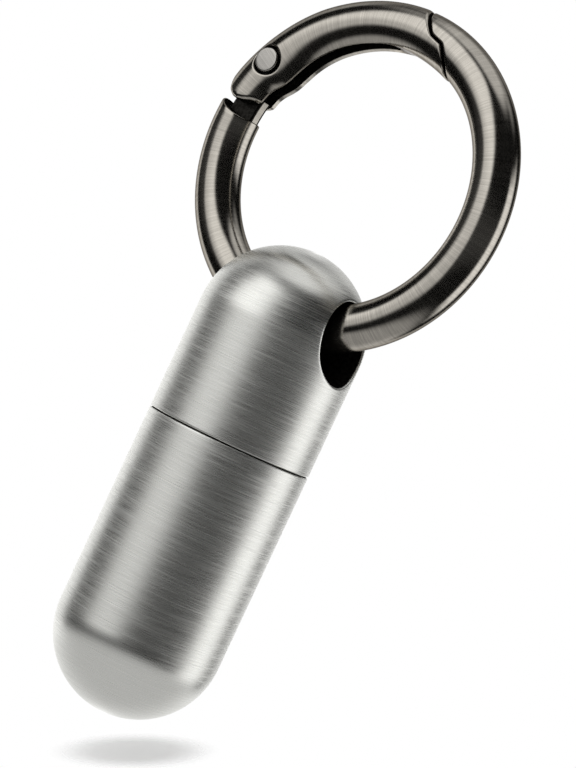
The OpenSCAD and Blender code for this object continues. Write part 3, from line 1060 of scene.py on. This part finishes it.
def gate_lever(ring, skin):
    """The gate: nose, slotted bow, two cheeks with the rivet's recesses and a rounded tail.

    The slot's blunt end is round: its half width follows cos a, and its place sin a."""
    section = gate_section(ring)
    half_slot, least = ring.slot_w / 2, 0.00002
    blunt, axis, split = (from_hinge(ring, place) for place in (SLOT_END, SLOT_ROUND, ROOF_END))
    a = np.linspace(math.pi / 2, 0, 12)
    rest = np.linspace(axis, split, 42)[1:]
    angles = np.concatenate([axis - (axis - blunt) * np.sin(a), rest])
    slots = np.concatenate([np.maximum(half_slot * np.cos(a), least), np.full(len(rest), half_slot)])
    w, y = gate_loop(ring, section, angles[:, None], slots[:, None])
    bow = raised(at(angles[:, None], w), -y)
    strip_end = SLIT_STEPS + OUTER_STEPS + SIDE_STEPS + STRIP_STEPS + 1
    roof_start = bow.shape[1] - ROOF_STEPS - 1
    loop = both_sides(bow)
    inside = slice(strip_end + 2, len(loop) - strip_end - 1)
    # The slot's inside is painted dark as shade.
    skin.add(loop[inside], dark=True)
    skin.add(np.concatenate([loop[inside.stop - 1:], loop[:inside.start + 1]]))
    # The face at the slot's blunt end is painted dark as shade.
    skin.add(face_between(bow[0, strip_end - 1:roof_start + 1]), dark=True)
    fall = np.linspace(1, 0, ROOF_STEPS + 1)[1:]
    row_w = np.concatenate([w[0, :strip_end], np.full(ROOF_STEPS, w[0, strip_end - 1])])
    row_y = np.concatenate([y[0, :strip_end], y[0, strip_end - 1] * fall])
    gate_nose(ring, section, skin, angles[0], row_w, row_y)
    roof, top = mirrored(bow[-1, roof_start:]), mirrored(bow[-1, SLIT_STEPS::-1])
    # The closing faces at the roof's end are painted dark as shade.
    skin.add(between(roof, top, np.linspace(0, 1, 3)[:, None, None]), dark=True)
    for side in (1, -1):
        gate_cheek(ring, section, skin, side)


def hinge_rivet(ring, skin):
    """The rivet: a shank with a bevelled flat head on both sides, turned about the hinge's axis."""
    hinge = at(ring.hinge_angle, ring.opening_r + ring.wire_r)
    proud, crown, bevel, seat = 0.00005, 0.00002, 0.00014, 0.0019
    face, shank, head = ring.gate_w / 2 + proud, ring.rivet_r, ring.rivet_head_r
    half = joined(
        run((0, face + crown), (head - bevel, face), 7),
        soft_corner((head - bevel, face), (head - 0.2 * bevel, face), (head, face - bevel), 5),
        run((head, face - bevel), (head, seat), 5),
        run((head, seat), (shank, seat), 3),
        run((shank, seat), (shank, 0), 8))
    profile = np.concatenate([half, half[-2::-1] * np.array([1, -1])])
    flat = on_circle(hinge, profile[None, :, :1], full_turn(96)[:, None])
    skin.add(raised(flat, -profile[None, :, 1]), closed=True)


def leaf_spring(ring, skin):
    """The leaf: a thin strip along the slot's roof, with a free end that is a half circle.

    At the way s from that end its half width is sqrt(h^2 - (h - s)^2), and h from s = h on."""
    half_w = 0.0006
    angle = from_hinge(ring, np.linspace(101.7, 147.3, 60))
    reach = (angle - angle[0]) * ring.opening_r * 1.2
    half = half_w * np.sqrt(np.clip(1 - (1 - reach / half_w) ** 2, 0.02, 1))
    half = np.where(reach > half_w, half_w, half)[:, None]
    w = ring.opening_r + np.array([[LEAF_LOW, LEAF_LOW, LEAF_HIGH, LEAF_HIGH]])
    loops = raised(at(angle[:, None], w), half * np.array([[-1, 1, 1, -1]]))
    skin.add(np.swapaxes(loops, 0, 1), closed=True)
    for end in (loops[0], loops[-1]):
        skin.add(np.stack([end[:2], end[:1:-1]]))


class MakeCapsule(bpy.types.Operator):
    """Make the brushed cap, the brushed body and the seal"""

    bl_idname = "pill.make_capsule"
    bl_label = "Make capsule"

    def execute(self, context):
        # The second material is near black: painted shade for the grids that are marked dark.
        steel = (capsule_steel(), painted_shade_steel())
        cap_shell().make("cap_shell", "cap", "capsule_steel", steel, "fob_cap")
        body_shell().make("body_shell", "body", "capsule_steel", steel, "fob_body")
        seal_ring().make("seal_ring", "body", "seal_rubber", (seal_rubber(),), "neck_seal")
        return {"FINISHED"}


class MakeRing(bpy.types.Operator):
    """Make the ring, the gate, its rivet and its spring"""

    bl_idname = "pill.make_ring"
    bl_label = "Make ring"

    def execute(self, context):
        ring = context.scene.pill_ring
        finish = context.scene.pill_finishes
        # The second material is near black: painted shade for the grids that are marked dark.
        plating = (ring_plating("brushed_gunmetal", finish.ring), painted_shade_steel())
        rivet = (ring_plating("rivet_steel_face", finish.rivet),)
        wire, gate, pin, leaf = Skin(), Skin(), Skin(), Skin()
        frame_tube(ring, wire)
        frame_tongue(ring, wire)
        wire.make("ring_wire", "ring", "ring_steel", plating, "ring_frame")
        gate_lever(ring, gate)
        gate.make("gate_lever", "gate", "ring_steel", plating, "gate")
        hinge_rivet(ring, pin)
        pin.make("hinge_rivet", "gate", "rivet_steel", rivet, "gate_rivet")
        leaf_spring(ring, leaf)
        piece = leaf.make("leaf_spring", None, "spring_steel", rivet, "gate_spring")
        ends = [at(from_hinge(ring, place), ring.opening_r + LEAF_HINGE) for place in (146.5, 139.5)]
        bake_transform(piece)
        return {"FINISHED"}


# The camera of the photograph, in metres and as directions
CAMERA_PLACE = Vector((0.1414, -0.2197, -0.0155))
CAMERA_AIM = Vector((-0.5324, 0.8463, -0.0179))
CAMERA_UP = Vector((-0.3675, -0.2120, 0.9056))
LENS = 131.25
SENSOR = 36.0

# Each soft box: middle, half width and edge in azimuth, lowest, highest and edge in height, all in
# degrees, and level. Azimuth 0 is the camera's side and grows to the picture's right.
SOFT_BOXES = (
    (-50, 25, 6, -15, 6, 7, 0.74),
    (-57, 28, 7, 6, 53, 8, 1.32),
    (-92, 34, 10, 48, 68, 8, 0.34),
    (96, 19, 7, -36, 28, 8, 1.38),
    (162, 22, 5, -90, 14, 10, 0.98),
    (-152, 28, 6, -90, 14, 10, 1.24),
    (192, 42, 8, 14, 44, 9, 0.68),
    (160, 60, 20, 50, 68, 8, 0.46),
    (0, 180, 1, 66, 90, 7, 0.82),
    (-10, 110, 20, -12, 10, 8, 0.05),
)

# The floor that the camera sees leans towards it, and lies this far under the capsule's end
FLOOR_UP = Vector((-0.2488, -0.3834, 0.8895))
FLOOR_DROP = 0.0039
FLOOR_SHIFT = Vector((-0.0007, -0.0004, 0.0))
FLOOR_R = 0.02
# Between these distances the floor's grey fades out: inside them the grey is painted shadow under the
# capsule, on top of its real soft shadow.
FLOOR_SHADOW_FADE = (0.0034, 0.0084)
# The floor in the metals' reflections: its depth under the capsule, radius, fade and levels
MIRRORED_DROP = 0.020
MIRRORED_R = 0.100
MIRRORED_FADE = (0.046, 0.090)
# Level direction from the camera's side to the back
BACK = Vector((-0.5325, 0.8464, 0.0))


def studio_light(world):
    """Lights the metals from soft boxes and everything else from plain white.

    A box's light is the product of two smooth windows, one in azimuth about its middle and one in
    height. A window that reaches straight up or down has no edge there."""
    world.use_nodes = True
    tree = world.node_tree
    tree.nodes.clear()
    way = node(tree, "ShaderNodeTexCoord", {}, out=0)
    x, y, z = outputs(node(tree, "ShaderNodeSeparateXYZ", {}, way))
    front = math.atan2(CAMERA_PLACE.y, CAMERA_PLACE.x)
    degrees = 180 / math.pi
    height = z.maths("ARCSINE") * degrees
    light = 0.0
    for middle, half, soft, low, high, edge, level in SOFT_BOXES:
        a = front + math.radians(middle)
        across = y * math.cos(a) - x * math.sin(a)
        ahead = x * math.cos(a) + y * math.sin(a)
        off = abs(across.maths("ARCTAN2", ahead)) * degrees
        window = off.smooth(half + soft, half - soft)
        if low > -90:
            window = window * height.smooth(low - edge, low + edge)
        if high < 90:
            window = window * height.smooth(high + edge, high - edge)
        light = window * level + light
    glossy = node(tree, "ShaderNodeBackground", {}, Color=light)
    plain = node(tree, "ShaderNodeBackground", {}, Color=(1, 1, 1, 1))
    is_glossy = Wire(tree, tree.nodes.new("ShaderNodeLightPath").outputs["Is Glossy Ray"])
    mix = node(tree, "ShaderNodeMixShader", {}, is_glossy, plain, glossy)
    out = tree.nodes.new("ShaderNodeOutputWorld")
    tree.links.new(mix.socket, out.inputs["Surface"])


def stage_disc(name, middle, up, radius):
    """A flat round stage piece with the rim middle + radius (one cos t + two sin t).

    One and two lie across up and each other. Gives the tree of its material, the Object coordinates
    from its middle and the distance from there."""
    up = up.normalized()
    one = up.orthogonal().normalized()
    two = up.cross(one)
    t = full_turn(96)[:, None]
    rim = np.array(middle) + radius * (np.cos(t) * np.array(one) + np.sin(t) * np.array(two))
    mesh = bpy.data.meshes.new(name)
    mesh.from_pydata(rim, [], [range(len(rim))])
    disc = bpy.data.objects.new(name, mesh)
    bpy.context.scene.collection.objects.link(disc)
    material = bpy.data.materials.new(name)
    material.use_nodes = True
    tree = material.node_tree
    tree.nodes.clear()
    mesh.materials.append(material)
    off = [place - centre for place, centre in zip(place_of(tree), middle)]
    least_square = 1e-12
    way = (off[0] * off[0] + off[1] * off[1] + off[2] * off[2] + least_square) ** 0.5
    return tree, off, way


def seen_by(tree, ray, shader, gone):
    """Lets one kind of ray see a shader where gone is 0, and everything else pass through."""
    clear = node(tree, "ShaderNodeBsdfTransparent", {})
    near = node(tree, "ShaderNodeMixShader", {}, gone, shader, clear)
    is_ray = Wire(tree, tree.nodes.new("ShaderNodeLightPath").outputs[ray])
    full = node(tree, "ShaderNodeMixShader", {}, is_ray, clear, near)
    out = tree.nodes.new("ShaderNodeOutputMaterial")
    tree.links.new(full.socket, out.inputs["Surface"])


def white_floor():
    """The floor as the camera sees it: a grey disc with the object's real soft shadow, whose grey is
    painted shadow, and gone farther away.

    It fades with sqrt(r^2 + (1.2 d)^2), where d is the way to the back, and is clear from below."""
    middle = Vector((0, 0, BOTTOM_Z + CAPSULE_R)) - FLOOR_UP * (CAPSULE_R + FLOOR_DROP)
    tree, off, way = stage_disc("floor", middle + FLOOR_SHIFT, FLOOR_UP, FLOOR_R)
    # Its grey of 0.88 is painted shadow that deepens the real shadow under the capsule.
    shadow_matt = node(tree, "ShaderNodeBsdfDiffuse", {}, Color=(0.88, 0.88, 0.88, 1))
    depth = (off[0] * BACK.x + off[1] * BACK.y) * 1.2
    way = (way * way + depth * depth) ** 0.5
    under = Wire(tree, tree.nodes.new("ShaderNodeNewGeometry").outputs["Backfacing"])
    seen_by(tree, "Is Camera Ray", shadow_matt, way.smooth(*FLOOR_SHADOW_FADE).maths("MAXIMUM", under))


def floor_in_metal():
    """The same floor as the metals see it: pale grey in front of the capsule and white behind it."""
    middle = Vector((0, 0, BOTTOM_Z - MIRRORED_DROP))
    tree, off, way = stage_disc("floor_in_metal", middle, Vector((0, 0, 1)), MIRRORED_R)
    behind = off[0] * BACK.x + off[1] * BACK.y
    level = 0.46 + behind.smooth(-0.005, 0.045) * 0.5
    pale = node(tree, "ShaderNodeEmission", {}, Color=level)
    seen_by(tree, "Is Glossy Ray", pale, way.smooth(*MIRRORED_FADE))


class SetStage(bpy.types.Operator):
    """Set the camera, the studio light and the floor"""

    bl_idname = "pill.set_stage"
    bl_label = "Set stage"

    def execute(self, context):
        scene = context.scene
        data = bpy.data.cameras.new("camera")
        data.sensor_fit = "AUTO"
        data.sensor_width = SENSOR
        data.lens = LENS
        data.clip_start = 0.01
        data.clip_end = 10
        camera = bpy.data.objects.new("camera", data)
        scene.collection.objects.link(camera)
        back = -CAMERA_AIM.normalized()
        right = CAMERA_UP.cross(back).normalized()
        up = back.cross(right)
        turn = Matrix((right, up, back)).transposed()
        camera.matrix_world = Matrix.Translation(CAMERA_PLACE) @ turn.to_4x4()
        scene.camera = camera
        scene.world = scene.world or bpy.data.worlds.new("studio")
        studio_light(scene.world)
        white_floor()
        floor_in_metal()
        scene.view_settings.view_transform = "Standard"
        return {"FINISHED"}


class PillPanel(bpy.types.Panel):
    """Lists the operators that make the keychain"""

    bl_idname = "PILL_PT_panel"
    bl_label = "Pill fob"
    bl_space_type = "VIEW_3D"
    bl_region_type = "UI"
    bl_category = "Pill fob"

    def draw(self, context):
        column = self.layout.column()
        for made in (SetStage, MakeCapsule, MakeRing):
            column.operator(made.bl_idname)


CLASSES = (CapsuleSizes, RingSizes, Finishes, MakeCapsule, MakeRing, SetStage, PillPanel)


def register():
    """Registers the classes and hangs the sizes and finishes on the scene."""
    for made in CLASSES:
        bpy.utils.register_class(made)
    bpy.types.Scene.pill_capsule = PointerProperty(type=CapsuleSizes)
    bpy.types.Scene.pill_ring = PointerProperty(type=RingSizes)
    bpy.types.Scene.pill_finishes = PointerProperty(type=Finishes)


def unregister():
    """Undoes register."""
    del bpy.types.Scene.pill_finishes
    del bpy.types.Scene.pill_ring
    del bpy.types.Scene.pill_capsule
    for made in reversed(CLASSES):
        bpy.utils.unregister_class(made)


def main():
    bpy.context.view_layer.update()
    register()
    bpy.ops.pill.set_stage()
    bpy.ops.pill.make_capsule()
    bpy.ops.pill.make_ring()


if __name__ == "__main__":
    main()
